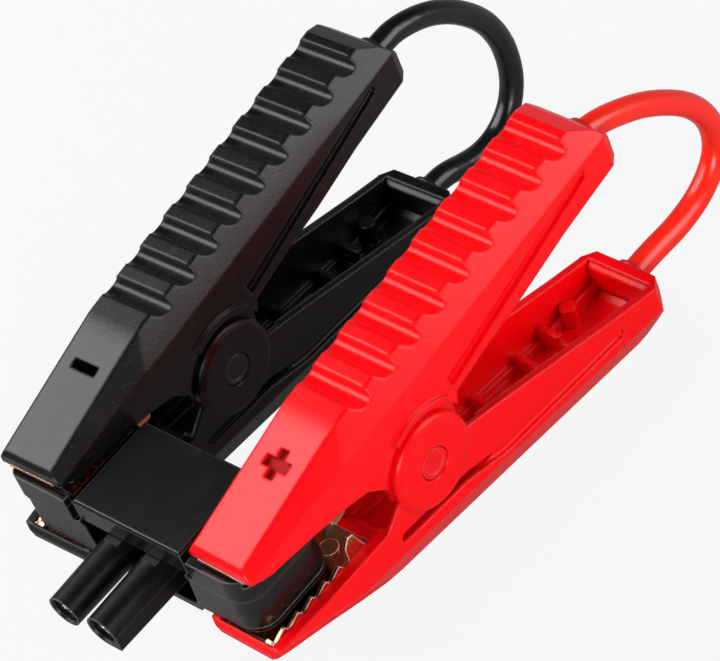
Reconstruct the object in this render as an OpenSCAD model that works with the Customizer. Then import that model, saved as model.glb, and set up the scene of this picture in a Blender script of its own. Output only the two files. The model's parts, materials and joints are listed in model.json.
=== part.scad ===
// Jump starter clamp set: two spring clamps parked on a plug dock.
// Millimetres, +Z up, +X from the negative to the positive clamp, +Y towards the grips.
// Shapes are written about the clamp pivot line and lifted by pivot_y, pivot_z.

/* [Placement] */
// distance between the two clamps
clamp_gap = 56; // [52:0.5:62]
// outward swing of each clamp, degrees
splay = 1; // [0:0.25:3]
// pivot line behind the origin
pivot_y = -2.05; // [-10:0.05:10]
// pivot line above the base
pivot_z = 30.5; // [28:0.01:40]

/* [Clamp] */
// half width of the upper handle
hand_w = 10.5; // [9:0.1:12]
// half width over the boss discs
ear_w = 11.5; // [10:0.1:13]
// half width of the lower handle
low_half = 10.4; // [9:0.1:12]
// half width of the flat upper face
face_w = 6.9; // [5:0.1:8]
// shell wall
wall = 2.2; // [1.6:0.1:3]
// radius of the boss disc
boss_r = 9.45; // [8:0.05:11]
// radius of the recess round the boss
recess_r = 12.8; // [12:0.1:14]
// grip grooves on each handle
grooves = 9; // [5:1:11]
// spacing of the grooves
groove_pitch = 8.22; // [7:0.02:9]
// depth of a groove
groove_d = 2.6; // [1:0.1:3]
// half length of the grooves under the lower handle
groove_half = 5.6; // [4:0.1:6.5]
// half size of the polarity mark
mark_half = 3.4; // [2:0.1:4]
// width of the polarity mark's strokes
mark_stroke = 2.4; // [1.5:0.1:3.5]

/* [Jaws] */
// copper sheet
copper_t = 1; // [0.6:0.1:1]
// spacing of the jaw teeth
tooth_pitch = 3.7; // [2.5:0.1:5]
// height of a jaw tooth
tooth_h = 1.6; // [1:0.1:2.5]

/* [Pivot] */
// pin radius
pin_r = 2.5; // [2:0.05:3.2]
// running gap round the pin
pin_gap = 0.06; // [0.02:0.01:0.1]
// radius of the pin head
head_r = 3.5; // [3:0.05:4.5]
// spring wire radius
wire_r = 0.7; // [0.4:0.05:1]
// spring coil radius
coil_r = 4.1; // [3.6:0.1:5]
// turns in the spring
coil_turns = 5; // [3:1:6]

/* [Cable] */
// cable radius
cable_r = 2.8; // [2.2:0.05:3.4]
// sides of the cable tube
cable_sides = 12; // [8:1:16]

/* [Dock] */
// reach of the rim band to the negative side
dock_left = 33.9; // [28:0.1:36]
// reach of the rim band to the positive side
dock_right = 32.7; // [28:0.1:36]
// front face of the rim band
dock_front = -49.5; // [-54:0.1:-46]
// rear face of the rim band
dock_rear = -25.8; // [-30:0.1:-22]
// corner radius on the negative side
dock_rl = 2.6; // [1:0.1:8]
// corner radius on the positive side
dock_rr = 5.6; // [1:0.1:8]
// half width of the raised top plate
plate_half = 15.4; // [12:0.1:18]
// top of the raised plate
plate_z = 12.2; // [10:0.1:14]
// clamp tray level
tray_z = 9.3; // [8:0.1:11]
// top of the lips in front of the trays
lip_z = 11.5; // [10:0.1:12]
// underside of the dock
dock_z = -5.1; // [-8:0.1:-4]
// underside of the plug block
plug_z = -8.4; // [-10:0.1:-7]

/* [Plug] */
// spacing of the two prongs
prong_gap = 10.9; // [9:0.1:12]
// prong radius
prong_r = 4.15; // [3.5:0.05:4.5]
// draw-in of the prongs at the tip
prong_draft = 0.25; // [0:0.05:0.4]
// prong bore radius
prong_bore = 3.15; // [2.5:0.05:3.4]
// height of the prong axes above the pivot line
prong_h = 2.1; // [0:0.1:5]
// prong tip
prong_tip = -66.8; // [-70:0.1:-60]
// outer radius of the metal sleeves
sleeve_r = 3.05; // [2.4:0.05:3.2]

/* [Hidden] */
$fn = 48;

black = [0.07, 0.07, 0.075];
red = [0.78, 0.05, 0.06];
copper = [0.72, 0.42, 0.24];
steel = [0.72, 0.73, 0.75];

face_a = atan2(9, 32.5);
grip_a = 6.3;
low_a = 7.1;
ut = tan(grip_a);
lt = tan(low_a);
groove_0 = -7.3;
skin = 4.3;
hole_w = 22.2;
hole_l = -21.6;

function top_w(u) = 26.2 + (u + 14.5) * ut;
function low_w(u) = -21 - (u + 14.5) * lt;

module ex(a, b) { translate([a, 0, 0]) rotate([90, 0, 90]) linear_extrude(b - a) children(); }
module both() { children(); mirror([1, 0, 0]) children(); }
module lift() { translate([0, pivot_y, pivot_z]) children(); }
module at_clamp(s) { lift() translate([s * clamp_gap / 2, 0, 0]) rotate([0, 0, -s * splay]) children(); }
module xcyl(r, a, b) { translate([a, 0, 0]) rotate([0, 90, 0]) cylinder(r = r, h = b - a, $fn = 64); }

// ---- upper handle ----
upper_line = [
  [-48.3, 15.9], [-47.3, 17.1], [-14.5, 26.2], [62.6, top_w(62.6)], [67.4, 31.6],
  [70.6, 27.4], [70.9, 26], [70.9, 20.9], [50.7, 17.5], [35.7, 14], [23.7, 11.9], [12.2, 9.2],
  [9, 0], [-9, 0], [-12.7, 5.2], [-16.3, 8.6], [-22.3, 9.9], [-31.3, 10.9], [-43.3, 11.8], [-48.3, 13.6]
];
upper_plan = [
  [-7.9, -48.6], [-8.7, -47.4], [-hand_w, -16], [-hand_w, 68.6], [-hand_w + 1.6, 71],
  [hand_w - 1.6, 71], [hand_w, 68.6], [hand_w, -16], [8.7, -47.4], [7.9, -48.6]
];

module bevel(l, drop) {
  both() translate([0, l, 0]) rotate([90, 0, 0]) linear_extrude(2 * l)
    polygon([[face_w - 0.45, 9], [face_w - 0.45, 0], [face_w + 0.2, -0.2 * drop], [face_w + 7, -7 * drop], [face_w + 14, 0]]);
}

// one scoop: a long front slope, a tight rear curve and a steep rear wall
module groove(h) {
  front_r = 3.29;
  rear_r = 1.25;
  intersection() {
    translate([0, 0.2, front_r + 0.06 - groove_d]) xcyl(front_r, -h, h);
    translate([-h - 1, -4, -4]) cube([2 * h + 2, 4.9, 7]);
  }
  translate([0, 0.6, rear_r + 0.02 - groove_d]) xcyl(rear_r, -h, h);
  ex(-h, h) polygon([[0.4, 3], [0.4, 1 - groove_d], [1.75, 1 - groove_d], [2.02, 0.05], [2.5, 3]]);
}
module groove_row(sgn, h) {
  for (i = [0:grooves - 1]) {
    u = groove_0 + i * groove_pitch;
    translate([0, u, sgn > 0 ? top_w(u) : low_w(u)]) rotate([sgn > 0 ? grip_a : -low_a, 0, 0])
      if (sgn > 0) groove(h); else mirror([0, 0, 1]) groove(h);
  }
}

module side_pocket(sgn, a, b, x) {
  both() ex(x, x + 6) {
    polygon([[a[0], sgn * a[1]], [a[0] - 0.6, sgn * a[2]], [b[0] - 0.3, sgn * (b[1] + 1.2)], [b[0] + 0.35, sgn * (b[1] - 1.18)]]);
    translate([b[0], sgn * b[1]]) circle(r = 1.23, $fn = 32);
  }
}

module arc_lip(r0, r1, a0, a1) {
  polygon(concat([for (i = [0:16]) let(t = a0 + (a1 - a0) * i / 16) [r1 * cos(t), r1 * sin(t)]],
    [for (i = [16:-1:0]) let(t = a0 + (a1 - a0) * i / 16) [r0 * cos(t), r0 * sin(t)]]));
}

module minus_mark() {
  translate([0, -25.7, 23]) rotate([face_a, 0, 0])
    translate([-mark_half, -mark_stroke / 2 + 0.1, -16]) cube([2 * mark_half, mark_stroke - 0.2, 30]);
}
module plus_mark() {
  translate([0, -26.5, 22.85]) rotate([face_a, 0, 0]) translate([0, 0, -1.5]) {
    translate([-mark_half, -mark_stroke / 2, 0]) cube([2 * mark_half, mark_stroke, 4]);
    translate([-mark_stroke / 2, -mark_half, 0]) cube([mark_stroke, 2 * mark_half, 4]);
  }
}

module upper_handle(plus) {
  difference() {
    union() {
      difference() {
        difference() {
          intersection() {
            ex(-12, 12) polygon(upper_line);
            translate([0, 0, -20]) linear_extrude(60) polygon(upper_plan);
          }
          translate([0, -14.5, 26.2]) rotate([face_a, 0, 0]) bevel(45, 1.5);
        }
        translate([0, -14.5, 26.2]) rotate([grip_a, 0, 0]) bevel(92, 1.8);
        // hollow under the grip, narrow between the ears
        ex(-hand_w + wall, hand_w - wall)
          polygon([[12, -5], [12, top_w(12) - 7.2], [20, top_w(20) - skin], [61, top_w(61) - skin], [68.4, 27.4], [68.4, -5]]);
        ex(-6.9, 6.9) polygon([[-16.9, -5], [-16.9, 21.4], [-13.5, 22], [13, top_w(13) - skin], [13, -5]]);
        // channel for the copper jaw
        ex(-6.75, 6.75) polygon([[-47.4, 5], [-47.4, 14.45], [-16.8, 14.45], [-16.8, 5]]);
        both() xcyl(recess_r, 9.3, 20);
        side_pocket(1, [11.8, 11.2, 14.3], [59.9, 25.6], hand_w - 1.3);
        groove_row(1, 12);
      }
      // inner ears round the pin
      both() {
        xcyl(10.9, 6.9, 9.2);
        ex(6.9, 9.2) polygon([[-10.9, 0], [-10.9, 9], [-8, 14], [9, 14], [10.9, 9], [10.9, 0]]);
        // raised lip over the boss
        ex(9.05, 11.2) arc_lip(recess_r + 0.12, recess_r + 1.8, 50, 118);
      }
      // end wall carries the cable
      translate([0, 70.75, 0]) rotate([90, 0, 0]) linear_extrude(2.6)
        polygon([[-8.7, 21.2], [-6.7, 17.2], [6.7, 17.2], [8.7, 21.2], [8.7, 23.7], [-8.7, 23.7]]);
      // inner cross webs
      for (u = [24, 42]) ex(-8.4, 8.4) polygon([[u, top_w(u) - 4.1], [u + 1.4, top_w(u) - 4], [u + 1.4, top_w(u) - 7], [u, top_w(u) - 7]]);
    }
    xcyl(pin_r + pin_gap, -12, 12);
    translate([0, 60, hole_w]) rotate([-90, 0, 0]) cylinder(r = 3.6, h = 20, $fn = 48);
    for (u = [-41, -24]) translate([0, u, 10]) cylinder(r = 1.3, h = 7.6, $fn = 32);
    if (plus) plus_mark(); else minus_mark();
  }
}

// ---- lower handle ----
lower_line = [
  [-50.6, -6.9], [-49.8, -5.5], [-16.2, -5.5], [-9, 0], [9, 0], [10.5, -0.9], [22.1, -4.1], [42, -10], [58.4, -14.9],
  [67.6, -17.4], [70.9, -17.4], [70.9, -21.4], [70.3, -23.4], [67.4, -27.4], [64.4, -29.8], [61.8, low_w(61.8)],
  [-14.5, -21], [-20, -19.5], [-26, -17.6], [-36, -14.1], [-46, -10.9], [-49.4, -9.6], [-50.6, -8.4]
];
lower_plan = [
  [-8.5, -50.9], [-9.4, -50], [-9.8, -47.4], [-low_half, -34], [-low_half, 68], [-8, 71],
  [8, 71], [low_half, 68], [low_half, -34], [9.8, -47.4], [9.4, -50], [8.5, -50.9]
];

module low_bevel(l, drop, f) {
  both() translate([0, l, 0]) rotate([90, 0, 0])
    linear_extrude(2 * l) polygon([[f, 0], [f + 7, 7 * drop], [f + 14, 0], [f, -9]]);
}
module boss(sgn) {
  translate([sgn * 9.4, 0, 0]) rotate([0, sgn * 90, 0]) {
    cylinder(r = boss_r + 1.5, h = 1.3, $fn = 72);
    translate([0, 0, 1.3]) cylinder(r1 = boss_r + 1.5, r2 = boss_r + 1.1, h = 0.35, $fn = 72);
    translate([0, 0, 1.65]) cylinder(r1 = boss_r + 1.1, r2 = boss_r, h = ear_w - 11.05, $fn = 72);
  }
}
module side_slot(sgn) {
  translate([sgn > 0 ? low_half - 1.2 : -low_half - 5, 0, 0]) rotate([90, 0, 90]) linear_extrude(6.2) {
    polygon([[-12.6, -11.5], [6.2, -13.3], [18.2, -16.7], [55.2, -20.3], [55.4, -17.9], [18.8, -14.3], [6.6, -10.8], [-12.4, -9]]);
    for (c = [[-12.5, -10.25], [55.3, -19.1]]) translate(c) circle(r = 1.24, $fn = 32);
  }
}

module lower_handle() {
  difference() {
    union() {
      difference() {
        difference() {
          intersection() {
            ex(-12, 12) polygon(lower_line);
            translate([0, 0, -40]) linear_extrude(50) polygon(lower_plan);
          }
          translate([0, -14.5, -21]) rotate([-19.5, 0, 0]) low_bevel(60, 1.2, 7.2);
        }
        translate([0, -14.5, -21]) rotate([-low_a, 0, 0]) low_bevel(92, 2, face_w);
        // trough
        ex(-8.5, 8.5) polygon([[13, 5], [13, low_w(13) + 7], [20, low_w(20) + 6.2], [62, low_w(62) + 6.2], [68.3, -22.6], [68.3, 5]]);
        ex(-7.2, 7.2) polygon([[14, 0], [14, low_w(14) + 6], [20, low_w(20) + skin], [61, low_w(61) + skin], [65.6, -26.2], [67.5, -25.4], [67.5, 0]]);
        ex(-9.3, 9.3) polygon([[-15.6, 5], [-15.6, -10], [-13.4, -13.6], [15, -15.2], [15, 5]]);
        ex(-6.9, 6.9) polygon([[-12.4, 5], [-12.4, -16.6], [15.4, -20], [15.4, 5]]);
        // channel for the copper jaw
        ex(-7.4, 7.4) polygon([[-49.5, 5], [-49.5, -8.55], [-18, -8.55], [-15, -10], [-15, 5]]);
        side_slot(1);
        side_slot(-1);
        groove_row(-1, groove_half);
      }
      // outer ears with the boss discs
      boss(1);
      boss(-1);
      // cross webs, saddle posts and screw posts in the trough
      for (u = [26, 40]) ex(-8.6, 8.6) polygon([[u, low_w(u) + 4.1], [u + 1.4, low_w(u) + 3.9], [u + 1.4, low_w(u) + 8], [u, low_w(u) + 8]]);
      for (x = [-6.2, 6.2]) {
        translate([x, 50, -26.3]) cylinder(r = 1.7, h = 4.4, $fn = 32);
        translate([x, 57, -27]) cylinder(r = 1.9, h = 7, $fn = 32);
      }
    }
    xcyl(pin_r + pin_gap, -14, 14);
    translate([ear_w - 1, 0, 0]) rotate([0, 90, 0]) cylinder(r = head_r + 0.34, h = 3, $fn = 64);
    translate([-ear_w - 2, 0, 0]) rotate([0, 90, 0]) cylinder(r = head_r + 0.34, h = 3, $fn = 64);
    translate([0, 56, hole_l]) rotate([-90, 0, 0]) cylinder(r = 3.3, h = 20, $fn = 48);
    for (u = [-41, -24]) translate([0, u, -14]) cylinder(r = 1.3, h = 8, $fn = 32);
  }
}

// ---- copper jaws ----
module tooth_edge(a, b, w, s) {
  n = floor((b - a) / tooth_pitch);
  for (i = [0:n - 1]) let(u = a + i * tooth_pitch)
    polygon([[u, w], [u + tooth_pitch / 2, w + s * tooth_h], [u + tooth_pitch, w]]);
}
module upper_jaw() {
  both() ex(6.6 - copper_t, 6.6) {
    polygon([[-46.9, 14.4], [-46.9, 11.05], [-18.2, 11.05], [-18.2, 14.4]]);
    tooth_edge(-45.8, -26.5, 11.1, -1);
    polygon([[-25.2, 11.1], [-24.8, 5.4], [-23.6, 4.6], [-21, 5.2], [-18.2, 11.1]]);
  }
  difference() {
    ex(-5.7, 5.7) {
      polygon([[-46.9, 13.4], [-46.9, 14.4], [-17, 14.4], [-17, 13.4]]);
      polygon([[-46.9, 11.6], [-46.9, 14], [-45.9, 14], [-45.9, 11.6]]);
    }
    for (u = [-41, -24]) translate([0, u, 10]) cylinder(r = 1.3, h = 8, $fn = 32);
  }
  ex(-3, 3) polygon([[-17.1, 13.4], [-17.1, 14.4], [-11.6, 14.4], [-11.6, 13.4]]);
}
module lower_jaw() {
  both() ex(7.25 - copper_t, 7.25) {
    polygon([[-49.2, -8.5], [-49.2, -7.45], [-19.5, -7.45], [-19.5, -8.5]]);
    tooth_edge(-49.2, -26.5, -7.5, 1);
    polygon([[-25.2, -7.5], [-25, -2.2], [-23.4, -0.2], [-22, -0.6], [-19.5, -7.5]]);
  }
  difference() {
    ex(-6.3, 6.3) {
      polygon([[-49.2, -8.5], [-49.2, -7.5], [-18.4, -7.5], [-18.4, -8.5]]);
      polygon([[-49.2, -8.5], [-49.2, -6.3], [-48.2, -6.3], [-48.2, -8.5]]);
    }
    for (u = [-41, -24]) translate([0, u, -12]) cylinder(r = 1.3, h = 8, $fn = 32);
  }
}
module rivets(w, d) {
  for (u = [-41, -24]) translate([0, u, w]) {
    translate([0, 0, min(0, d * 2.9)]) cylinder(r = 1.22, h = 2.9, $fn = 32);
    translate([0, 0, d > 0 ? -0.7 : 0]) cylinder(r = 2.2, h = 0.7, $fn = 32);
  }
}

// ---- pivot ----
module pivot_pin() {
  xcyl(pin_r, -ear_w + 1.1, ear_w - 0.9);
  difference() {
    xcyl(head_r, ear_w - 0.9, ear_w - 0.2);
    xcyl(head_r - 0.9, ear_w - 0.45, ear_w);
  }
}
module pivot_cap() {
  difference() {
    xcyl(head_r, -ear_w + 0.2, -ear_w + 0.95);
    xcyl(head_r - 0.9, -ear_w, -ear_w + 0.45);
  }
}

function unit(v) = v / norm(v);
function tangent(p, i) = let(n = len(p)) unit((i < n - 1 ? unit(p[i + 1] - p[i]) : unit(p[i] - p[i - 1]))
  + (i > 0 ? unit(p[i] - p[i - 1]) : unit(p[i + 1] - p[i])));
// frames are carried along by projecting the last one on the next ring
function frames(p, i, u) = i >= len(p) ? [] : let(t = tangent(p, i), v = unit(u - (u * t) * t))
  concat([[v, cross(t, v)]], frames(p, i + 1, v));
module sweep(p, r, sides) {
  n = len(p);
  f = frames(p, 0, [0.123, 0.456, 0.88]);
  pts = [for (i = [0:n - 1]) for (k = [0:sides - 1]) let(a = 360 * k / sides) p[i] + r * cos(a) * f[i][0] + r * sin(a) * f[i][1]];
  faces = concat([[for (k = [0:sides - 1]) k]],
    [for (i = [0:n - 2]) for (k = [0:sides - 1]) let(k2 = (k + 1) % sides) [i * sides + k, (i + 1) * sides + k, (i + 1) * sides + k2, i * sides + k2]],
    [[for (k = [sides - 1:-1:0]) (n - 1) * sides + k]]);
  polyhedron(points = pts, faces = faces, convexity = 6);
}

// torsion spring: leg, coil round the pin, leg
spring_x = 4.3;
coil_steps = coil_turns * 10 - 5;
spring_path = concat(
  [for (t = [0:5]) let(q = t / 6) [-spring_x, 22 - 22 * q, 25 - (25 - coil_r) * q]],
  [for (i = [0:coil_steps]) let(a = 90 - i * 36) [-spring_x + 2 * spring_x * i / coil_steps, -coil_r * cos(a), coil_r * sin(a)]],
  [for (t = [1:6]) let(q = t / 6) [spring_x, 19 * q, -coil_r - (19.4 - coil_r) * q]]);
echo(str("least gap between spring curls, mm: ", 2 * spring_x / (coil_steps / 10) - 2 * wire_r));
module spring() { sweep(spring_path, wire_r, 6); }

// ---- cable ----
route_pos = [[0, 62, 22.2], [0, 67, 22.2], [0, 71.5, 22.2], [0, 76, 21.2], [0, 81.7, 18.6], [0, 89, 14.2], [0, 96.2, 8], [0, 101.3, 2],
  [0, 104.3, -4.1], [0, 105, -9.6], [0, 103.6, -14.6], [0, 100, -18.4], [0, 94.5, -21], [0, 87, -22], [0, 80, -21.6], [0, 74, -21.5], [0, 68, -21.6], [0, 58, -21.6], [0, 47, -21.6]];
route_neg = [[0, 62, 22.2], [0, 68, 22.2], [0, 74, 22.2], [0, 79.8, 21.8], [0, 88.2, 18.2], [0, 95.7, 12.2], [0, 102, 4],
  [0, 105.1, -3.9], [0, 105.8, -11], [0, 104.6, -18], [0, 101, -23.6], [0, 95.5, -26.6], [0, 89.5, -26.9], [0, 84, -25.2], [0, 79, -22.9], [0, 74, -21.7], [0, 68, -21.6], [0, 58, -21.6], [0, 47, -21.6]];
function cr(a, b, c, d, t) = 0.5 * ((2 * b) + (c - a) * t + (2 * a - 5 * b + 4 * c - d) * t * t + (3 * b - a - 3 * c + d) * t * t * t);
function smooth(p, m) = let(n = len(p)) concat([for (i = [0:n - 2]) for (j = [0:m - 1])
  cr(p[max(i - 1, 0)], p[i], p[i + 1], p[min(i + 2, n - 1)], j / m)], [p[n - 1]]);
module cable(s) { sweep(smooth(s > 0 ? route_pos : route_neg, 3), cable_r, cable_sides); }

module grommet(w, wall_r, rim, back) {
  translate([0, 66.6 - back, w]) rotate([-90, 0, 0]) difference() {
    union() {
      cylinder(r = wall_r - 0.05, h = 5.4 + back, $fn = 48);
      cylinder(r = wall_r + rim, h = 1.45, $fn = 48);
      translate([0, 0, 4.35 + back]) cylinder(r1 = wall_r + 0.9, r2 = wall_r + 0.2, h = 1.5, $fn = 48);
    }
    translate([0, 0, -1]) cylinder(r = cable_r + 0.1, h = 9, $fn = 48);
  }
}
module upper_lug() {
  difference() {
    union() {
      translate([0, 50, hole_w]) rotate([-90, 0, 0]) cylinder(r = 3.5, h = 13, $fn = 40);
      ex(-2.7, 2.7) polygon([[-16.6, 14.45], [-12, 14.45], [12, 18.4], [50, 21], [52, 21], [52, 22.4], [12, 19.6], [-12.2, 15.6], [-16.6, 15.6]]);
    }
    translate([0, 61, hole_w]) rotate([-90, 0, 0]) cylinder(r = cable_r + 0.05, h = 4, $fn = 40);
  }
}
module lower_clip() {
  translate([-7.9, 48.3, -18.7]) cube([15.8, 3.4, 1.2]);
  both() translate([4.7, 48.3, -21.85]) cube([3.2, 3.4, 3.3]);
  for (x = [-6.2, 6.2]) translate([x, 50, -17.55]) cylinder(r = 1.3, h = 0.7, $fn = 32);
}

// ---- dock ----
module rrect(d) {
  xl = -dock_left + d; xr = dock_right - d; y0 = dock_front + d; y1 = dock_rear - d;
  for (y = [y0 + dock_rl, y1 - dock_rl]) translate([xl + dock_rl, y]) circle(r = dock_rl, $fn = 48);
  for (y = [y0 + dock_rr, y1 - dock_rr]) translate([xr - dock_rr, y]) circle(r = dock_rr, $fn = 48);
  translate([xl + dock_rl, y0]) square([xr - dock_rr - xl - dock_rl, y1 - y0]);
  translate([xl, y0 + dock_rl]) square([dock_rl + 0.5, y1 - y0 - 2 * dock_rl]);
  translate([xr - dock_rr - 0.5, y0 + dock_rr]) square([dock_rr + 0.5, y1 - y0 - 2 * dock_rr]);
}
module cavity() {
  translate([0, dock_front + 5.6, 0]) rotate([90, 0, 0]) linear_extrude(20)
    polygon([[-15.2, 6.6], [-13.6, dock_z - 4], [13.6, dock_z - 4], [15.2, 6.6]]);
}
module dock_body() {
  difference() {
    union() {
      translate([0, 0, 5.3]) linear_extrude(lip_z - 5.3) rrect(0);
      translate([0, 0, dock_z + 1.2]) linear_extrude(5.3 - dock_z - 1.1) rrect(0.4);
      translate([0, 0, 4.5]) linear_extrude(0.9) rrect(0.2);
    }
    // trays behind the lips
    both() translate([16.3, dock_front + 1.9, tray_z]) cube([30, 40, 10]);
    both() translate([plate_half + 0.1, dock_front - 1, tray_z]) cube([2, 40, 10]);
    both() translate([plate_half + 0.1, dock_front - 1, 5.25]) cube([1.9, 2.9, 10]);
    // seat of the top plate
    translate([-plate_half - 0.1, dock_front - 1, 6.3]) cube([2 * plate_half + 0.2, 40, 10]);
    // seats of the tray plates
    both() translate([18.4, dock_front + 3.2, tray_z - 1]) cube([11, 19.4, 4]);
    // hollow for the plug and the bus bars
    translate([-13, dock_front + 5.4, dock_z - 1]) cube([26, 16.6, 14]);
    both() translate([12.9, dock_front + 11.4, dock_z - 1]) cube([13.4, 9.2, 8.4]);
    both() translate([21, dock_front + 14, 0]) cube([4.2, 4, 12]);
    cavity();
    for (x = [-27.6, 27.6], y = [dock_front + 4.4, dock_rear - 4.2]) translate([x, y, dock_z]) cylinder(r = 1.15, h = 9, $fn = 32);
  }
}
module dock_top_plate() {
  difference() {
    union() {
      translate([-plate_half, dock_front + 0.7, 6.35]) cube([2 * plate_half, dock_rear - dock_front - 0.3, plate_z - 6.95]);
      hull() {
        translate([-plate_half, dock_front + 0.7, plate_z - 0.62]) cube([2 * plate_half, dock_rear - dock_front - 0.3, 0.02]);
        translate([-plate_half + 0.5, dock_front + 1.2, plate_z - 0.02]) cube([2 * plate_half - 1, dock_rear - dock_front - 1.3, 0.02]);
      }
    }
    translate([-plate_half + 2, dock_front + 2.6, 5]) cube([2 * plate_half - 4, dock_rear - dock_front - 5, plate_z - 7]);
  }
}
module dock_base_plate() {
  difference() {
    union() {
      translate([0, 0, dock_z]) linear_extrude(1.15) rrect(0.4);
      translate([-12.6, dock_front + 1.2, plug_z]) cube([25.2, 20.6, dock_z - plug_z + 0.5]);
    }
    translate([-13.4, dock_front - 1, dock_z + 0.3]) cube([26.8, 10.2, 4]);
    for (x = [-27.6, 27.6], y = [dock_front + 4.4, dock_rear - 4.2]) translate([x, y, dock_z - 1]) {
      cylinder(r = 1.25, h = 4, $fn = 32);
      cylinder(r = 2.35, h = 1.55, $fn = 32);
    }
  }
}
module tray_plate(s) {
  translate([s > 0 ? 18.5 : -29.3, dock_front + 3.3, tray_z - 0.95]) difference() {
    cube([10.8, 19.2, 0.95]);
    for (v = [2.4:2.4:17]) translate([-1, v, 0.65]) cube([13, 0.6, 1]);
  }
}
// the prongs draw in a little towards their tips
module prong(x, keyed) {
  tip_r = prong_r - prong_draft;
  root = -dock_front;
  tip = -prong_tip;
  translate([x, 0, prong_h]) rotate([90, 0, 0]) {
    translate([0, 0, root - 8]) cylinder(r = prong_r, h = 8, $fn = 64);
    translate([0, 0, root - 0.02]) cylinder(r1 = prong_r, r2 = tip_r, h = tip - root + 0.02, $fn = 64);
    if (keyed) intersection() {
      rotate([90, 0, 0]) linear_extrude(8) polygon([[0, root - 7.9], [prong_r + 0.03, root - 7.9], [prong_r + 0.03, root], [tip_r + 0.03, tip], [0, tip]]);
      rotate([0, 90, 0]) linear_extrude(8) polygon([[-tip, 0], [-tip, -tip_r - 0.03], [-root, -prong_r - 0.03], [-root + 7.9, -prong_r - 0.03], [-root + 7.9, 0]]);
    }
  }
}
module plug_housing() {
  difference() {
    union() {
      for (s = [-1, 1]) prong(s * prong_gap / 2, s > 0);
      translate([-12.8, dock_front + 5.8, dock_z + 1.25]) cube([25.6, 3.4, 10]);
      translate([-10.6, dock_front + 9, dock_z + 1.25]) cube([21.2, 4.2, 10]);
    }
    for (s = [-1, 1]) translate([s * prong_gap / 2, 0, prong_h]) rotate([90, 0, 0]) {
      cylinder(r = prong_bore, h = -prong_tip + 1, $fn = 64);
      translate([0, 0, -prong_tip - 0.5]) cylinder(r1 = prong_bore, r2 = prong_bore + 0.36, h = 0.6, $fn = 64);
    }
    // latch windows at the roots
    for (s = [-1, 1]) translate([s * prong_gap / 2 - 1.9, dock_front - 1, prong_h + 3.7]) cube([3.8, 3.4, 3]);
  }
}
module sleeve(s) {
  translate([s * prong_gap / 2, 0, prong_h]) rotate([90, 0, 0]) difference() {
    translate([0, 0, -dock_front - 13.5]) cylinder(r = sleeve_r, h = -prong_tip + dock_front + 11.9, $fn = 48);
    translate([0, 0, -dock_front - 5.6]) cylinder(r = sleeve_r - 0.55, h = 30, $fn = 48);
    for (a = [0, 90]) rotate([0, 0, a]) translate([-4, -0.25, -dock_front + 2]) cube([8, 0.5, 30]);
  }
}
module bus_bar(s) {
  translate([s * prong_gap / 2, dock_front + 13.6, prong_h]) rotate([-90, 0, 0]) cylinder(r = 3.7, h = 1.2, $fn = 40);
  translate([s > 0 ? prong_gap / 2 - 3 : -24.4, dock_front + 15, -0.9]) cube([21.9 - (prong_gap / 2 - 5.5), 2, 1.2]);
  translate([s > 0 ? prong_gap / 2 - 3 : -prong_gap / 2 - 3, dock_front + 14.2, -0.9]) cube([6, 1.4, 3]);
  translate([s > 0 ? 22 : -24.4, dock_front + 15, -0.9]) cube([2.4, 2, tray_z - 0.1]);
}
module base_screw(x, y) {
  translate([x, y, dock_z]) {
    difference() {
      translate([0, 0, -0.05]) cylinder(r = 2.2, h = 0.55, $fn = 40);
      translate([-1.5, -0.25, -1]) cube([3, 0.5, 1.25]);
      translate([-0.25, -1.5, -1]) cube([0.5, 3, 1.25]);
    }
    translate([0, 0, 0.45]) cylinder(r = 1.08, h = 8, $fn = 32);
  }
}

color(black) lift() dock_body();
color(black) lift() dock_top_plate();
color(black) lift() dock_base_plate();
color(copper) lift() tray_plate(-1);  // tray_plate_neg
color(copper) lift() tray_plate(1);  // tray_plate_pos
color(black) lift() plug_housing();
color(copper) lift() sleeve(-1);  // sleeve_neg
color(copper) lift() sleeve(1);  // sleeve_pos
color(copper) lift() bus_bar(-1);  // bus_bar_neg
color(copper) lift() bus_bar(1);  // bus_bar_pos
color(steel) lift() base_screw(-27.6, dock_front + 4.4);  // base_screw_1
color(steel) lift() base_screw(27.6, dock_front + 4.4);  // base_screw_2
color(steel) lift() base_screw(-27.6, dock_rear - 4.2);  // base_screw_3
color(steel) lift() base_screw(27.6, dock_rear - 4.2);  // base_screw_4
color(black) at_clamp(-1) upper_handle(false);  // upper_handle_neg
color(black) at_clamp(-1) lower_handle();  // lower_handle_neg
color(copper) at_clamp(-1) upper_jaw();  // upper_jaw_neg
color(copper) at_clamp(-1) lower_jaw();  // lower_jaw_neg
color(steel) at_clamp(-1) rivets(13.4, 1);  // upper_rivets_neg
color(steel) at_clamp(-1) rivets(-7.5, -1);  // lower_rivets_neg
color(steel) at_clamp(-1) pivot_pin();  // pivot_pin_neg
color(steel) at_clamp(-1) pivot_cap();  // pivot_cap_neg
color(steel) at_clamp(-1) spring();  // spring_neg
color(black) at_clamp(-1) grommet(hole_w, 3.6, 0.7, 0);  // upper_grommet_neg
color(black) at_clamp(-1) grommet(hole_l, 3.3, 0.4, 0.7);  // lower_grommet_neg
color(copper) at_clamp(-1) upper_lug();  // upper_lug_neg
color(steel) at_clamp(-1) lower_clip();  // lower_clip_neg
color(black) at_clamp(-1) cable(-1);  // cable_neg
color(red) at_clamp(1) upper_handle(true);  // upper_handle_pos
color(red) at_clamp(1) lower_handle();  // lower_handle_pos
color(copper) at_clamp(1) upper_jaw();  // upper_jaw_pos
color(copper) at_clamp(1) lower_jaw();  // lower_jaw_pos
color(steel) at_clamp(1) rivets(13.4, 1);  // upper_rivets_pos
color(steel) at_clamp(1) rivets(-7.5, -1);  // lower_rivets_pos
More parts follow.
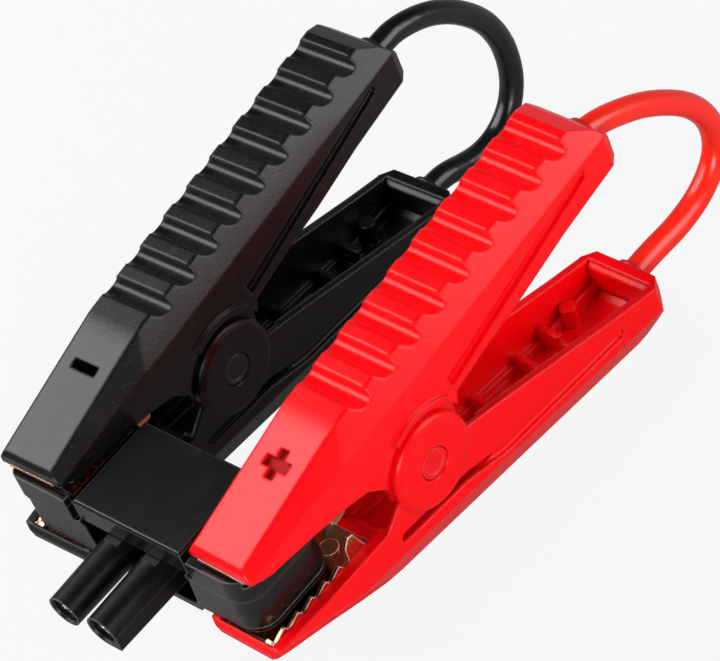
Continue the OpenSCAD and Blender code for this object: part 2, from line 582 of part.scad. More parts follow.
color(steel) at_clamp(1) pivot_pin();  // pivot_pin_pos
color(steel) at_clamp(1) pivot_cap();  // pivot_cap_pos
color(steel) at_clamp(1) spring();  // spring_pos
color(black) at_clamp(1) grommet(hole_w, 3.6, 0.7, 0);  // upper_grommet_pos
color(black) at_clamp(1) grommet(hole_l, 3.3, 0.4, 0.7);  // lower_grommet_pos
color(copper) at_clamp(1) upper_lug();  // upper_lug_pos
color(steel) at_clamp(1) lower_clip();  // lower_clip_pos
color(red) at_clamp(1) cable(1);  // cable_pos
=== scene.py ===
import json
import math
import bmesh
import bpy
from mathutils import Matrix, Vector


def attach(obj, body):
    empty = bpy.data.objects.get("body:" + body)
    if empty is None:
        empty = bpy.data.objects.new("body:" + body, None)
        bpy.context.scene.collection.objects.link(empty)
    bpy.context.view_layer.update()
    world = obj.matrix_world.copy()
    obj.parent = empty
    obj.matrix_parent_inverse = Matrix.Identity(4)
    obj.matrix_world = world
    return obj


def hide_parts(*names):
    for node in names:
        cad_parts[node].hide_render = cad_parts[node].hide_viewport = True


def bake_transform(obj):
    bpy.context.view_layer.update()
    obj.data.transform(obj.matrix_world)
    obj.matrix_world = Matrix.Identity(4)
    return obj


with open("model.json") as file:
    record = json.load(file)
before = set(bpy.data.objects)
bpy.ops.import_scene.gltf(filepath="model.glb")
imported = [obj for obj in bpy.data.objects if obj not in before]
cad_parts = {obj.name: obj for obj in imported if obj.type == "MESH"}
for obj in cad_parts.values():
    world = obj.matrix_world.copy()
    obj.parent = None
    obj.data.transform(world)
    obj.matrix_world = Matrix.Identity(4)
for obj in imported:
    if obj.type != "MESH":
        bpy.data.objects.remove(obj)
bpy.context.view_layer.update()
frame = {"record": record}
scene = bpy.context.scene
cadObjects = {o.name: o for o in scene.objects if o.type == "MESH"}
print("loaded", len(cadObjects), "nodes")

# lens, place and turn of the camera
cam = dict(az=57.41, el=44.93, roll=-23.85, lens=196.5, at=(0.49085, -0.29441, 0.61009))


def makeCamera():
    a, e, r = (math.radians(cam[k]) for k in ("az", "el", "roll"))
    back = Vector((math.sin(a) * math.cos(e), -math.cos(a) * math.cos(e), math.sin(e)))
    right = Vector((math.cos(a), math.sin(a), 0))
    up = Vector((-math.sin(e) * math.sin(a), math.sin(e) * math.cos(a), math.cos(e)))
    x = right * math.cos(r) + up * math.sin(r)
    y = up * math.cos(r) - right * math.sin(r)
    data = bpy.data.cameras.new("camera")
    data.lens, data.sensor_width, data.sensor_fit = cam["lens"], 36, "HORIZONTAL"
    data.clip_start, data.clip_end = 0.05, 20
    obj = bpy.data.objects.new("camera", data)
    scene.collection.objects.link(obj)
    m = Matrix((x, y, back)).transposed().to_4x4()
    m.translation = Vector(cam["at"])
    obj.matrix_world = m
    scene.camera = obj


makeCamera()
scene.view_settings.view_transform = "Standard"
scene.view_settings.look = "None"
print("camera set")

clampSides = (("neg", -1), ("pos", 1))
# middle lines gap apart in millimetres, splayed in degrees; pivot is the pin's place back and up
clampPlace = dict(gap=56, splay=1, pivot=(-2.05, 30.5))


def clampPoint(side, x, u, w):
    # from a clamp's own measures to the frame, in metres
    c, a = clampPlace, math.radians(clampPlace["splay"])
    return Vector((side * c["gap"] / 2 + x * math.cos(a) + side * u * math.sin(a),
                   u * math.cos(a) - side * x * math.sin(a) + c["pivot"][0], w + c["pivot"][1])) / 1000


def addMesh(name, bm):
    mesh = bpy.data.meshes.new(name)
    bm.to_mesh(mesh)
    bm.free()
    obj = bpy.data.objects.new(name, mesh)
    scene.collection.objects.link(obj)
    return obj


def tubeMesh(name, path, radius, sides):
    # a closed tube with a ring of points at each place of the path
    bm = bmesh.new()
    rings = []
    for i, p in enumerate(path):
        t = (path[min(i + 1, len(path) - 1)] - path[max(i - 1, 0)]).normalized()
        across = Vector((1, 0, 0)) - t * t.x
        across.normalize()
        other = t.cross(across)
        rings.append([bm.verts.new(p + (across * math.cos(q) + other * math.sin(q)) * radius)
                      for q in (2 * math.pi * k / sides for k in range(sides))])
    for r0, r1 in zip(rings, rings[1:]):
        for k in range(sides):
            bm.faces.new((r0[k], r0[(k + 1) % sides], r1[(k + 1) % sides], r1[k]))
    for ring, step in ((rings[0], -1), (rings[-1], 1)):
        bm.faces.new(ring[::step])
    bmesh.ops.recalc_face_normals(bm, faces=bm.faces)
    obj = addMesh(name, bm)
    for f in obj.data.polygons:
        f.use_smooth = len(f.vertices) == 4
    return obj


# points are millimetres back from and above the pivot line, as in the part's source
# keep is how many places at either end the relaxing leaves alone
cable = dict(radius=2.8, sides=32, steps=8, smooth=6, keep=(9, 12), bendFrom=(93.5, -9), bendTo=(76.5, 24.4))
cableRoutes = {
    "pos": [(62, 22.2), (67, 22.2), (71.5, 22.2), (76, 21.2), (81.7, 18.6), (89, 14.2), (96.2, 8), (101.3, 2),
            (104.3, -4.1), (105, -9.6), (103.6, -14.6), (100, -18.4), (94.5, -21), (87, -22), (80, -21.6),
            (75.5, -21.5), (71.5, -21.6), (67.6, -21.6)],
    "neg": [(62, 22.2), (68, 22.2), (74, 22.2), (79.8, 21.8), (88.2, 18.2), (95.7, 12.2), (102, 4), (105.1, -3.9),
            (105.8, -11), (104.6, -18), (101, -23.6), (95.5, -26.6), (89.5, -26.9), (84, -25.2), (79, -22.9),
            (75.5, -21.9), (71.5, -21.6), (67.6, -21.6)],
}


def smoothPath(points):
    # a curve through the points, then a little relaxing of its bends
    n, out = len(points), []
    for i in range(n - 1):
        a, b, c, d = (points[min(max(i + k, 0), n - 1)] for k in (-1, 0, 1, 2))
        for j in range(cable["steps"]):
            t = j / cable["steps"]
            out.append([0.5 * (2 * b[k] + (c[k] - a[k]) * t + (2 * a[k] - 5 * b[k] + 4 * c[k] - d[k]) * t * t
                               + (3 * b[k] - a[k] - 3 * c[k] + d[k]) * t ** 3) for k in (0, 1)])
    out.append(list(points[-1]))
    first, last = cable["keep"][0], len(out) - cable["keep"][1]
    for _ in range(cable["smooth"]):
        out = [[(out[i - 1][k] + 2 * p[k] + out[i + 1][k]) / 4 for k in (0, 1)] if first <= i <= last else p
               for i, p in enumerate(out)]
    return out


cables = {}
for tag, side in clampSides:
    path = [clampPoint(side, 0, u, w) for u, w in smoothPath(cableRoutes[tag])]
    tube = tubeMesh("cable_tube_" + tag, path, cable["radius"] / 1000, cable["sides"])
    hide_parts("cable_" + tag)
    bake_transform(tube)
    cables[tag] = tube


def prisms(name, side, parts, rounding):
    # closed prisms across the clamp, each an outline of (back, up) between two x
    bm = bmesh.new()
    for outline, x0, x1 in parts:
        a, b = ([bm.verts.new(clampPoint(side, x, u, w)) for u, w in outline] for x in (min(x0, x1), max(x0, x1)))
        n = len(outline)
        bm.faces.new(a[::-1])
        bm.faces.new(b)
        for i in range(n):
            bm.faces.new((a[i], a[(i + 1) % n], b[(i + 1) % n], b[i]))
    bmesh.ops.recalc_face_normals(bm, faces=bm.faces)
    bmesh.ops.bevel(bm, geom=list(bm.edges), offset=rounding / 1000, segments=2, profile=0.5, affect="EDGES",
                    clamp_overlap=True)
    return addMesh(name, bm)


# teeth run back from first; base and floor are the two sides of the bottom sheet
lowerJaw = dict(front=-49.2, first=-48.3, pitch=4.3, teeth=5, valley=-5.75, peak=-4.4, lean=0.68, flat=0.08, rise=0.5,
                inner=-5.95, innerValley=-7.3, innerEnd=-7.4, innerLean=0.5, base=-8.5, floor=-7.5, back=-18.4,
                sheet=0.85, out=7.35, floorHalf=6.6, lipHalf=6.4, lipTop=-6.9, lipBase=-8.4, lipDepth=0.9,
                tabTop=(-5.7, -5.4), tabAcross=(2.4, 0.3), rounding=0.1,
                horn=[(-25.3, -5.8), (-25, -2.2), (-23.4, -0.2), (-22, -0.6), (-19.5, -7.5), (-19.5, -8.5)])


def sawLine(first, pitch, teeth, valley, peak, lean):
    # a row of teeth with leaning fronts and small flats on top
    line = []
    for i in range(teeth):
        u = first + i * pitch
        line += [(u, valley), (u + pitch * lean, peak), (u + pitch * (lean + lowerJaw["flat"]), peak)]
    return line + [(first + teeth * pitch, valley)]


def makeLowerJaw(tag, side):
    # folded channel: an outer and an inner toothed wall, a floor, a front lip and a bent tab
    j = lowerJaw
    front, base, horn, tip = j["front"], j["base"], j["horn"], j["front"] + j["lipDepth"]
    outer = [(front, base), (front, j["valley"] + j["rise"])]
    outer += sawLine(j["first"], j["pitch"], j["teeth"], j["valley"], j["peak"], j["lean"]) + horn
    inner = [(front, base), (front, j["innerEnd"])]
    inner += sawLine(j["first"], j["pitch"], j["teeth"], j["innerValley"], j["inner"], j["innerLean"])
    inner += [(horn[0][0], j["innerEnd"])] + horn[1:]
    floor = [(front, base), (front, j["floor"]), (j["back"], j["floor"]), (j["back"], base)]
    lip = [(front, j["lipBase"]), (front, j["lipTop"]), (tip, j["lipTop"]), (tip, j["lipBase"])]
    tab = [(front, j["lipBase"]), (front, j["tabTop"][0]), (tip, j["tabTop"][1]), (tip, j["lipBase"])]
    o, t = side * j["out"], side * j["sheet"]
    parts = [(outer, o - t, o), (inner, -o, t - o), (floor, -j["floorHalf"], j["floorHalf"]),
             (lip, -j["lipHalf"], j["lipHalf"]), (tab, *(o - k * side for k in j["tabAcross"]))]
    obj = prisms("jaw_lower_" + tag, side, parts, j["rounding"])
    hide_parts("lower_jaw_" + tag)
    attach(obj, f"clamp_{tag}_lower")
    return obj


# frontRoll and backRoll are how far its two lower corners are rolled up
jawLip = dict(u=(-48.35, -47.4), w=(12.75, 13.75), half=6.3, roll=0.2, frontRoll=0.25, backRoll=0.1, rounding=0.12)


def makeJawLip(tag, side):
    # rolled front edge of the upper jaw, just under the nose
    c = jawLip
    (u0, u1), (w0, w1), h, r = c["u"], c["w"], c["half"], c["roll"]
    outline = [(u0 + r, w0), (u0, w0 + c["frontRoll"]), (u0, w1), (u1, w1), (u1, w0 + c["backRoll"]), (u1 - r, w0)]
    obj = prisms("jaw_lip_" + tag, side, [(outline, -h, h)], c["rounding"])
    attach(obj, f"clamp_{tag}_upper")
    return obj


# block between wall and panel, notched web in front, a rail on each side; lap is how far parts run into each other
cableSaddle = dict(half=8.25, web=(48.6, 50.2), webTop=-19.6, notch=1.9, notchDepth=1.6, wall=(68.28, -17.75, -22.9),
                   panel=(67.0, -18.7), panelLean=0.1, heel=(67.2, -24.2), foot=-25,
                   rail=[(-24.5, -22.6), (-22.9, -24.6)], railBack=66.4, railWidth=1.1, lap=0.2, rounding=0.18)


def makeSaddle(tag, side):
    # moulded block behind the end wall that grips the cable, with a notched web in front
    c = cableSaddle
    (u0, u1), h, (pu, pw), foot, lap = c["web"], c["half"], c["panel"], c["foot"], c["lap"]
    wall, wallTop, wallFoot = c["wall"]
    block = [(wall, wallTop), (pu, pw), (pu - c["panelLean"], foot), c["heel"], (wall, wallFoot)]
    web = [(u0, foot), (u0, c["webTop"]), (u1, c["webTop"]), (u1, foot)]
    low = [(u0, foot), (u0, c["webTop"] - c["notchDepth"]), (u1, c["webTop"] - c["notchDepth"]), (u1, foot)]
    near, far = c["rail"]
    rail = [(u1 - lap, near[0]), (u1 - lap, near[1]), (c["railBack"], far[0]), (c["railBack"], far[1])]
    parts = [(block, -h, h), (low, -c["notch"] - lap, c["notch"] + lap)]
    for k in (-1, 1):
        parts += [(web, k * c["notch"], k * h), (rail, k * (h - c["railWidth"]), k * h)]
    obj = prisms("cable_saddle_" + tag, side, parts, c["rounding"])
    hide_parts("lower_clip_" + tag)
    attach(obj, f"clamp_{tag}_lower")
    return obj


# places along the cable with their radii, in millimetres
grommet = dict(back=(68.6, 3.24), wall=(70.96, 3.24), collar=(70.98, 4.1), shoulder=(71.95, 4.0), rim=(72.3, 3.55),
               bore=2.84, up=-21.6, sides=48)


def makeGrommet(tag, side):
    # turned collar round the cable where it goes back into the lower handle
    c = grommet
    bm = bmesh.new()
    line = [c[k] for k in ("back", "wall", "collar", "shoulder", "rim")]
    line += [(c["rim"][0], c["bore"]), (c["back"][0], c["bore"])]
    rings = []
    for u, r in line:
        rings.append([bm.verts.new(clampPoint(side, r * math.cos(q), u, c["up"] + r * math.sin(q)))
                      for q in (2 * math.pi * k / c["sides"] for k in range(c["sides"]))])
    for r0, r1 in zip(rings, rings[1:] + rings[:1]):
        for k in range(c["sides"]):
            f = bm.faces.new((r0[k], r0[(k + 1) % c["sides"]], r1[(k + 1) % c["sides"]], r1[k]))
            f.smooth = True
    bmesh.ops.recalc_face_normals(bm, faces=bm.faces)
    obj = addMesh("grommet_collar_" + tag, bm)
    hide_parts("lower_grommet_" + tag)
    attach(obj, f"clamp_{tag}_lower")
    return obj


# turn in degrees over all coils; upper and lower are the ends of the legs; hold is the half width of the blend
spring = dict(x=4.3, coil=4.1, wire=0.7, turn=1620, steps=90, legSteps=6, upper=(22, 25), lower=(19, -19.4), sides=14,
              hold=3.1)


def makeSpring(tag, side):
    # torsion spring: a leg up, the coil round the pin, a leg down
    c = spring
    n, legs, path = c["steps"], c["legSteps"], []
    for i in range(legs):
        q = i / legs
        path.append((-c["x"], c["upper"][0] * (1 - q), c["upper"][1] + (c["coil"] - c["upper"][1]) * q))
    for i in range(n + 1):
        a = math.radians(90 - c["turn"] * i / n)
        path.append((-c["x"] + 2 * c["x"] * i / n, -c["coil"] * math.cos(a), c["coil"] * math.sin(a)))
    for i in range(1, legs + 1):
        q = i / legs
        path.append((c["x"], c["lower"][0] * q, -c["coil"] + (c["lower"][1] + c["coil"]) * q))
    obj = tubeMesh("spring_wire_" + tag, [clampPoint(side, *p) for p in path], c["wire"] / 1000, c["sides"])
    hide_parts("spring_" + tag)
    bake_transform(obj)
    return obj


copperPieces, saddles, collars, springs = [], {}, {}, []
for tag, side in clampSides:
    springs.append(makeSpring(tag, side))
    copperPieces += [makeLowerJaw(tag, side), makeJawLip(tag, side)]
    saddles[tag] = makeSaddle(tag, side)
    collars[tag] = makeGrommet(tag, side)
print("jaws, saddles and springs")


def newGroup(name, inputs, outputs):
    g = bpy.data.node_groups.new(name, "ShaderNodeTree")
    for label, kind, value in inputs:
        s = g.interface.new_socket(name=label, in_out="INPUT", socket_type=kind)
        s.default_value = value
    for label, kind in outputs:
        g.interface.new_socket(name=label, in_out="OUTPUT", socket_type=kind)
    n = g.nodes
    return g, n, g.links, n.new("NodeGroupInput"), n.new("NodeGroupOutput")


def mathNode(n, l, op, a, b, clamp=False):
    m = n.new("ShaderNodeMath")
    m.operation, m.use_clamp = op, clamp
    for k, v in enumerate((a, b)):
        if isinstance(v, (int, float)):
            m.inputs[k].default_value = v
        else:
            l.new(v, m.inputs[k])
    return m.outputs[0]


def rangeNode(n, l, value, lo, hi, toLo=0.0, toHi=1.0):
    r = n.new("ShaderNodeMapRange")
    for label, v in (("Value", value), ("From Min", lo), ("From Max", hi), ("To Min", toLo), ("To Max", toHi)):
        if isinstance(v, (int, float)):
            r.inputs[label].default_value = v
        else:
            l.new(v, r.inputs[label])
    return r.outputs["Result"]


def vectorNode(n, l, op, a, b=None):
    v = n.new("ShaderNodeVectorMath")
    v.operation = op
    for k, value in enumerate((a, b)):
        if isinstance(value, bpy.types.NodeSocket):
            l.new(value, v.inputs[k])
        elif value is not None:
            v.inputs[k].default_value = value
    return v.outputs["Value" if op in ("DOT_PRODUCT", "LENGTH") else "Vector"]


def tilted(degrees):
    # the upward direction leaned forward by so many degrees
    a = math.radians(degrees)
    return (0, -math.sin(a), math.cos(a))


def bumpNode(n, l, height, millimetres, normal=None):
    b = n.new("ShaderNodeBump")
    b.inputs["Strength"].default_value = 1.0
    b.inputs["Distance"].default_value = millimetres / 1000
    l.new(height, b.inputs["Height"])
    if normal is not None:
        l.new(normal, b.inputs["Normal"])
    return b.outputs["Normal"]


def noiseNode(n, l, vector, scale, detail, roughness=0.5):
    t = n.new("ShaderNodeTexNoise")
    for label, v in (("Vector", vector), ("Scale", scale), ("Detail", detail), ("Roughness", roughness)):
        if isinstance(v, (int, float)):
            t.inputs[label].default_value = v
        else:
            l.new(v, t.inputs[label])
    return t.outputs["Fac"]


def stretched(n, l, scale, turn=(0, 0, 0)):
    # places on the object, stretched and turned for a texture
    co, mp = n.new("ShaderNodeTexCoord"), n.new("ShaderNodeMapping")
    mp.inputs["Scale"].default_value = scale
    mp.inputs["Rotation"].default_value = turn
    l.new(co.outputs["Object"], mp.inputs["Vector"])
    return mp.outputs["Vector"]


# specks and drift are the parts of the two noises that are faded in
grainLook = dict(detail=3, roughness=0.6, specks=(0.56, 0.7), slow=55, slowDetail=2, drift=(0.3, 0.7))


def grainGroup():
    # fine spark-eroded mould grain with a slow variation of gloss
    g, n, l, gi, go = newGroup("mouldGrain", [("Size", "NodeSocketFloat", 0.4)],
                               [(label, "NodeSocketFloat") for label in ("Height", "Speck", "Drift")])
    c = grainLook
    spot = n.new("ShaderNodeTexCoord").outputs["Object"]
    scale = mathNode(n, l, "DIVIDE", 1000.0, gi.outputs["Size"])
    fine = noiseNode(n, l, spot, scale, c["detail"], c["roughness"])
    slow = noiseNode(n, l, spot, c["slow"], c["slowDetail"])
    l.new(fine, go.inputs["Height"])
    l.new(rangeNode(n, l, fine, *c["specks"]), go.inputs["Speck"])
    l.new(rangeNode(n, l, slow, *c["drift"]), go.inputs["Drift"])
    return g


# turn is how far the rounded normal leans from the flat one, as a cosine, where the mask starts and is full
edgeLook = dict(samples=6, turn=(0.995, 0.9))


def edgeGroup():
    # a small round on every edge, and a mask of where it is
    g, n, l, gi, go = newGroup("softEdge", [("Radius", "NodeSocketFloat", 0.0004)],
                               [("Normal", "NodeSocketVector"), ("Edge", "NodeSocketFloat")])
    bevel = n.new("ShaderNodeBevel")
    bevel.samples = edgeLook["samples"]
    l.new(gi.outputs["Radius"], bevel.inputs["Radius"])
    geo = n.new("ShaderNodeNewGeometry")
    turn = vectorNode(n, l, "DOT_PRODUCT", bevel.outputs["Normal"], geo.outputs["Normal"])
    l.new(bevel.outputs["Normal"], go.inputs["Normal"])
    l.new(rangeNode(n, l, turn, *edgeLook["turn"]), go.inputs["Edge"])
    return g


# streaks stretches the noise and turn turns it; seen is the part of it that is faded in
dustLook = dict(streaks=(260, 60, 260), turn=(0.3, 0.2, 0.5), detail=5, seen=(0.55, 0.75))


def dustGroup():
    # faint scuffs and dust, broken up in streaks
    g, n, l, gi, go = newGroup("handlingWear", [("Amount", "NodeSocketFloat", 0.5)], [("Scuff", "NodeSocketFloat")])
    c = dustLook
    streaks = noiseNode(n, l, stretched(n, l, c["streaks"], c["turn"]), 1.0, c["detail"])
    l.new(mathNode(n, l, "MULTIPLY", rangeNode(n, l, streaks, *c["seen"]), gi.outputs["Amount"], True),
          go.inputs["Scuff"])
    return g


# places are millimetres back in the frame, angles the slopes of the grip and of halfway to the nose; near is a cosine
shoulder = dict(behind=-15.2, fade=0.2, start=-16.5, end=-22.6, grip=6.3, between=10.9, near=0.99)


def shoulderGroup():
    # eases the bend between the grip and the nose of the upper handles
    g, n, l, gi, go = newGroup("softShoulder", [("Normal", "NodeSocketVector", (0, 0, 1))],
                               [("Normal", "NodeSocketVector")])
    c = shoulder
    co = n.new("ShaderNodeTexCoord")
    sep = n.new("ShaderNodeSeparateXYZ")
    l.new(co.outputs["Object"], sep.inputs[0])
    ahead = rangeNode(n, l, sep.outputs["Y"], c["end"] / 1000, c["start"] / 1000)
    behind = rangeNode(n, l, sep.outputs["Y"], (c["behind"] + c["fade"]) / 1000, c["behind"] / 1000)
    geo = n.new("ShaderNodeNewGeometry")
    facing = vectorNode(n, l, "DOT_PRODUCT", geo.outputs["Normal"], tilted(c["between"]))
    top = mathNode(n, l, "GREATER_THAN", facing, c["near"])
    amount = mathNode(n, l, "MULTIPLY", mathNode(n, l, "MULTIPLY", ahead, behind), top)
    mix = n.new("ShaderNodeMix")
    mix.data_type = "VECTOR"
    l.new(amount, mix.inputs[0])
    l.new(gi.outputs["Normal"], mix.inputs[4])
    mix.inputs[5].default_value = tilted(c["grip"])
    l.new(vectorNode(n, l, "NORMALIZE", mix.outputs[1]), go.inputs["Normal"])
    return g


groups = dict(grain=grainGroup(), edge=edgeGroup(), dust=dustGroup(), shoulder=shoulderGroup())
print("groups", len(groups))


def place(n, group, **values):
    node = n.new("ShaderNodeGroup")
    node.node_tree = group
    for k, v in values.items():
        node.inputs[k].default_value = v
    return node


def mixColor(n, l, fac, a, b):
    m = n.new("ShaderNodeMix")
    m.data_type = "RGBA"
    l.new(fac, m.inputs[0])
    for s, v in ((m.inputs[6], a), (m.inputs[7], b)):
        if isinstance(v, tuple):
            s.default_value = (*v, 1)
        else:
            l.new(v, s)
    return m.outputs[2]


# face is the middle of the mark on the top, tilt its slope; depth is where the mask starts and is full
plusRecess = dict(face=(-26.5, 22.88), tilt=15.48, reach=5.2, fade=0.5, depth=(-0.2, -0.7))


def recessMask(n, l):
    # 1 on the floor and walls of the plus, 0 elsewhere
    c = plusRecess
    co = n.new("ShaderNodeTexCoord")
    rel = vectorNode(n, l, "SUBTRACT", co.outputs["Object"], clampPoint(1, 0, *c["face"]))
    up, away = vectorNode(n, l, "DOT_PRODUCT", rel, tilted(c["tilt"])), vectorNode(n, l, "LENGTH", rel)
    deep = rangeNode(n, l, up, *(d / 1000 for d in c["depth"]))
    near = rangeNode(n, l, away, (c["reach"] + c["fade"]) / 1000, c["reach"] / 1000)
    return mathNode(n, l, "MULTIPLY", deep, near)


def newMaterial(name):
    m = bpy.data.materials.new(name)
    m.use_nodes = True
    n = m.node_tree.nodes
    return m, n, m.node_tree.links, n["Principled BSDF"]


# changes of roughness by drift, scuffs and the recessed mark, and how much of its colour the mark keeps under the
# painted shade of the recess
plasticLook = dict(drift=0.03, scuffed=0.12, recessRough=0.45, recessPaintedShade=0.5)


def mouldedPlastic(name, base, speck, rough, edgeWearAndHighlight, spec=0.5, grain=0.4, bump=0.06, rounding=0.4, scuff=0.3,
                   plus=False, lever=False):
    # sizes in millimetres; plus paints shade into the recessed mark, lever eases the nose of the upper handle
    c, (m, n, l, s) = plasticLook, newMaterial(name)
    s.inputs["Specular IOR Level"].default_value = spec
    g = place(n, groups["grain"], Size=grain)
    e = place(n, groups["edge"], Radius=rounding / 1000)
    d = place(n, groups["dust"], Amount=scuff)
    color = mixColor(n, l, g.outputs["Speck"], base, speck)
    # painted highlight: every edge takes the edge colour, mostly lighter than the body, partly standing for wear
    color = mixColor(n, l, e.outputs["Edge"], color, edgeWearAndHighlight)
    r = rangeNode(n, l, g.outputs["Drift"], 0, 1, rough - c["drift"], rough + c["drift"])
    if plus:
        mask = recessMask(n, l)
        # painted shade: the floor and walls of the plus are darkened, as if in the recess's own shadow
        color = mixColor(n, l, mask, color, tuple(v * c["recessPaintedShade"] for v in base))
        r = mathNode(n, l, "ADD", r, mathNode(n, l, "MULTIPLY", mask, c["recessRough"]))
    l.new(color, s.inputs["Base Color"])
    r = mathNode(n, l, "ADD", r, mathNode(n, l, "MULTIPLY", d.outputs["Scuff"], c["scuffed"]))
    l.new(r, s.inputs["Roughness"])
    normal = e.outputs["Normal"]
    if lever:
        turned = place(n, groups["shoulder"])
        l.new(normal, turned.inputs["Normal"])
        normal = turned.outputs["Normal"]
    l.new(bumpNode(n, l, g.outputs["Height"], bump, normal), s.inputs["Normal"])
    return m


metalLook = dict(grain=0.9, scuff=0.8, dull=0.72, scuffed=0.18)


def sheetMetal(name, base, edgeWearAndHighlight, rough, scratch=0.02, edge=0.25, edgeMetallic=1.0):
    # scratch and edge in millimetres; the last argument is how metallic the edges stay where the lighter edge colour
    # is mixed in, partly bare metal and partly a painted highlight
    c, (m, n, l, s) = metalLook, newMaterial(name)
    g = place(n, groups["grain"], Size=c["grain"])
    e = place(n, groups["edge"], Radius=edge / 1000)
    l.new(rangeNode(n, l, e.outputs["Edge"], 0, 1, 1.0, edgeMetallic), s.inputs["Metallic"])
    d = place(n, groups["dust"], Amount=c["scuff"])
    dull = tuple(v * c["dull"] for v in base)
    color = mixColor(n, l, g.outputs["Drift"], base, dull)
    # painted highlight: the edges take the lighter edge colour, partly bare worn metal
    color = mixColor(n, l, e.outputs["Edge"], color, edgeWearAndHighlight)
    l.new(color, s.inputs["Base Color"])
    l.new(rangeNode(n, l, d.outputs["Scuff"], 0, 1, rough, rough + c["scuffed"]), s.inputs["Roughness"])
    l.new(bumpNode(n, l, g.outputs["Height"], scratch, e.outputs["Normal"]), s.inputs["Normal"])
    return m


# dust lightens the colour by a factor and a step; gloss is how far the roughness drifts down and up
jacketLook = dict(grain=0.6, stretch=(0.15, 1, 1), waves=260, detail=1.5, dust=(1.2, 0.004), gloss=(-0.04, 0.05))


def cableJacket(name, base, rough, bump):
    # extruded silicone: glossy, with soft waves round it and fine dust
    c, (m, n, l, s) = jacketLook, newMaterial(name)
    wave = noiseNode(n, l, stretched(n, l, c["stretch"]), c["waves"], c["detail"])
    g = place(n, groups["grain"], Size=c["grain"])
    dust = tuple(min(1, v * c["dust"][0] + c["dust"][1]) for v in base)
    l.new(mixColor(n, l, g.outputs["Speck"], base, dust), s.inputs["Base Color"])
    l.new(rangeNode(n, l, g.outputs["Drift"], 0, 1, *(rough + v for v in c["gloss"])), s.inputs["Roughness"])
    l.new(bumpNode(n, l, wave, bump), s.inputs["Normal"])
    return m


# edge colours lighter than the body paint highlight lines on the edges, partly as wear
mats = {
    "dock_black": mouldedPlastic("dockBlack", (0.0042, 0.0042, 0.0044), (0.007, 0.007, 0.0074), 0.24,
                                 (0.09, 0.09, 0.092), spec=0.4, bump=0.008, rounding=0.5),
    "dock_plate": mouldedPlastic("dockPlateBlack", (0.005, 0.005, 0.0052), (0.008, 0.008, 0.0085), 0.26,
                                 (0.1, 0.1, 0.102), spec=0.36, grain=0.5, bump=0.004, rounding=0.45),
    "plug_black": mouldedPlastic("plugBlack", (0.003, 0.003, 0.0032), (0.012, 0.012, 0.0125), 0.34,
                                 (0.12, 0.12, 0.122), spec=0.28, grain=0.35, bump=0.02, rounding=0.35),
    "clamp_black": mouldedPlastic("clampBlack", (0.0034, 0.0034, 0.0036), (0.02, 0.02, 0.021), 0.26,
                                  (0.012, 0.012, 0.012), spec=0.37, grain=0.45, bump=0.03, rounding=0.9, lever=True),
    "clamp_red": mouldedPlastic("clampRed", (0.9, 0.0006, 0.004), (0.88, 0.002, 0.006), 0.25,
                                (0.92, 0.003, 0.006), spec=0.28, grain=0.45, bump=0.02, rounding=1.0,
                                plus=True, lever=True),
    "pin_black": mouldedPlastic("pinBlack", (0.005, 0.005, 0.0052), (0.01, 0.01, 0.0105), 0.24,
                                (0.07, 0.07, 0.072), rounding=0.5),
    "pin_red": mouldedPlastic("pinRed", (0.8, 0.0006, 0.004), (0.84, 0.002, 0.006), 0.25,
                              (0.96, 0.04, 0.04), spec=0.34, rounding=0.5),
    "rubber_black": mouldedPlastic("rubberBlack", (0.005, 0.005, 0.005), (0.01, 0.01, 0.01), 0.45,
                                   (0.01, 0.01, 0.01)),
    "rubber_red": mouldedPlastic("rubberRed", (0.6, 0.002, 0.003), (0.66, 0.005, 0.006), 0.4,
                                 (0.7, 0.006, 0.006)),
    "cable_black": cableJacket("cableBlack", (0.004, 0.004, 0.004), 0.26, 0.15),
    "cable_red": cableJacket("cableRed", (0.9, 0.016, 0.005), 0.28, 0.06),
    "copper": sheetMetal("copperSheet", (0.86, 0.37, 0.2), (1.0, 0.8, 0.66), 0.2, edge=0.42, edgeMetallic=0.3),
    "contact_metal": sheetMetal("contactMetal", (0.86, 0.78, 0.64), (1.0, 0.97, 0.92), 0.34),
    "steel": sheetMetal("zincSteel", (0.6, 0.6, 0.62), (0.8, 0.8, 0.82), 0.3),
    "copper_painted_shade": sheetMetal("copperPaintedShade", (0.22, 0.1, 0.07), (0.45, 0.24, 0.17), 0.36),
}
slotOf = {s["node"]: s["material_slot"] for s in frame["record"]["subparts"]}
# the tray plates take a darkened copper, painted shade for the gap under the clamp noses
finishOf = dict(slotOf, dock_top_plate="dock_plate", tray_plate_neg="copper_painted_shade", tray_plate_pos="copper_painted_shade")
for tag in ("neg", "pos"):
    finishOf["upper_rivets_" + tag] = finishOf["lower_rivets_" + tag] = "copper"
for node, finish in finishOf.items():
    obj = cadObjects[node]
    obj.data.materials.clear()
    obj.data.materials.append(mats[finish])
for tag, colour in (("neg", "black"), ("pos", "red")):
    cables[tag].data.materials.append(mats["cable_" + colour])
    saddles[tag].data.materials.append(mats["clamp_" + colour])
    collars[tag].data.materials.append(mats["rubber_" + colour])
for obj in springs:
    obj.data.materials.append(mats["steel"])
for obj in copperPieces:
    obj.data.materials.append(mats["copper"])
print("materials", len(mats))

# white is the part of the floor that the camera sees as plain white, mirrored the part that glossy surfaces see
floorLook = dict(half=1.5, base=0.3, white=0.9, mirrored=0.08)


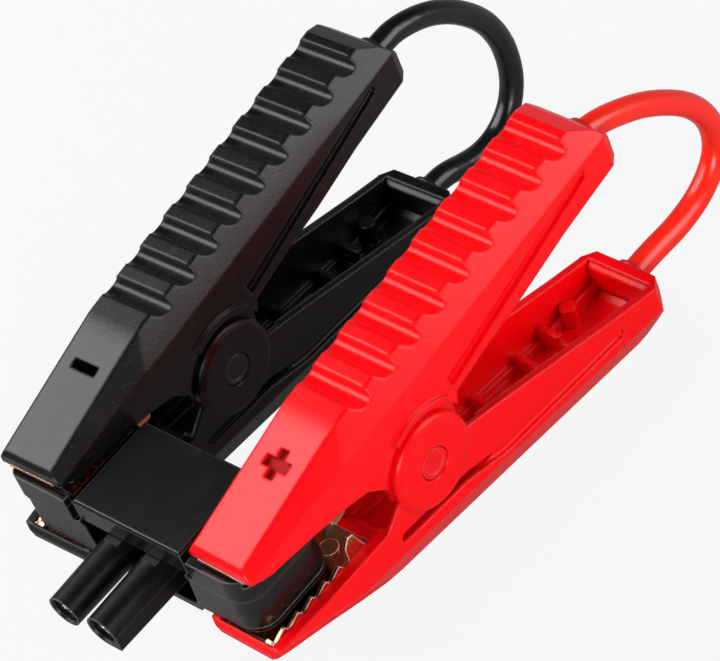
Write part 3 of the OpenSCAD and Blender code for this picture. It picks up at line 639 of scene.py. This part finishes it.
def makeFloor():
    half = floorLook["half"]
    mesh = bpy.data.meshes.new("floor")
    corners = [(-half, -half, 0), (half, -half, 0), (half, half, 0), (-half, half, 0)]
    mesh.from_pydata(corners, [], [(0, 1, 2, 3)])
    obj = bpy.data.objects.new("floor", mesh)
    scene.collection.objects.link(obj)
    m, n, l, s = newMaterial("paleFloor")
    s.inputs["Base Color"].default_value = (*[floorLook["base"]] * 3, 1)
    s.inputs["Roughness"].default_value = 1.0
    s.inputs["Specular IOR Level"].default_value = 0.0
    glow = n.new("ShaderNodeEmission")
    lp = n.new("ShaderNodeLightPath")
    seen = mathNode(n, l, "MULTIPLY", lp.outputs["Is Camera Ray"], floorLook["white"])
    mirrored = mathNode(n, l, "MAXIMUM", lp.outputs["Is Glossy Ray"], lp.outputs["Is Transmission Ray"])
    mirrored = mathNode(n, l, "MULTIPLY", mirrored, floorLook["mirrored"])
    mix = n.new("ShaderNodeMixShader")
    l.new(mathNode(n, l, "MAXIMUM", seen, mirrored), mix.inputs["Fac"])
    l.new(s.outputs["BSDF"], mix.inputs[1])
    l.new(glow.outputs["Emission"], mix.inputs[2])
    l.new(mix.outputs[0], n["Material Output"].inputs["Surface"])
    mesh.materials.append(m)


def softBox(name, toward, along, dist, size, glow, middle=(0, 0.01, 0.04)):
    # toward: where the lamp hangs; along: the way its second side runs
    z = Vector(toward).normalized()
    y = Vector(along)
    y = (y - z * y.dot(z)).normalized()
    data = bpy.data.lights.new(name, "AREA")
    data.shape = "RECTANGLE"
    data.size, data.size_y = size
    data.energy = glow * math.pi * size[0] * size[1]
    obj = bpy.data.objects.new(name, data)
    scene.collection.objects.link(obj)
    m = Matrix((y.cross(z), y, z)).transposed().to_4x4()
    m.translation = Vector(middle) + z * dist
    obj.matrix_world = m


# the room gives its strength low near the horizon and falls to high overhead
roomLight = dict(fromZ=0.1, toZ=0.45, low=0.3, high=0.03)


def makeWorld():
    world = bpy.data.worlds.new("world")
    scene.world = world
    world.use_nodes = True
    n, l = world.node_tree.nodes, world.node_tree.links
    n.clear()
    seen, room = n.new("ShaderNodeBackground"), n.new("ShaderNodeBackground")
    seen.inputs["Color"].default_value = (1, 1, 1, 1)
    co, sep = n.new("ShaderNodeTexCoord"), n.new("ShaderNodeSeparateXYZ")
    l.new(co.outputs["Generated"], sep.inputs[0])
    r = roomLight
    l.new(rangeNode(n, l, sep.outputs["Z"], r["fromZ"], r["toZ"], r["low"], r["high"]), room.inputs["Strength"])
    mix, lp, out = n.new("ShaderNodeMixShader"), n.new("ShaderNodeLightPath"), n.new("ShaderNodeOutputWorld")
    l.new(lp.outputs["Is Camera Ray"], mix.inputs["Fac"])
    l.new(room.outputs[0], mix.inputs[1])
    l.new(seen.outputs[0], mix.inputs[2])
    l.new(mix.outputs[0], out.inputs["Surface"])


lamps = dict(
    key=dict(toward=(-0.597, -0.32, 0.735), along=(0, -0.75, -0.35), dist=0.8, size=(0.86, 0.68), glow=5.3),
    side=dict(toward=(0.74, 0.56, 0.36), along=(0, 0, 1), dist=0.85, size=(0.62, 0.6), glow=4.2),
    front=dict(toward=(0.8, -0.66, 0.24), along=(0, 0, 1), dist=0.8, size=(0.42, 0.34), glow=9.0),
)
makeFloor()
for name, lamp in lamps.items():
    softBox(name, **lamp)
makeWorld()
print("lamps", len(lamps))
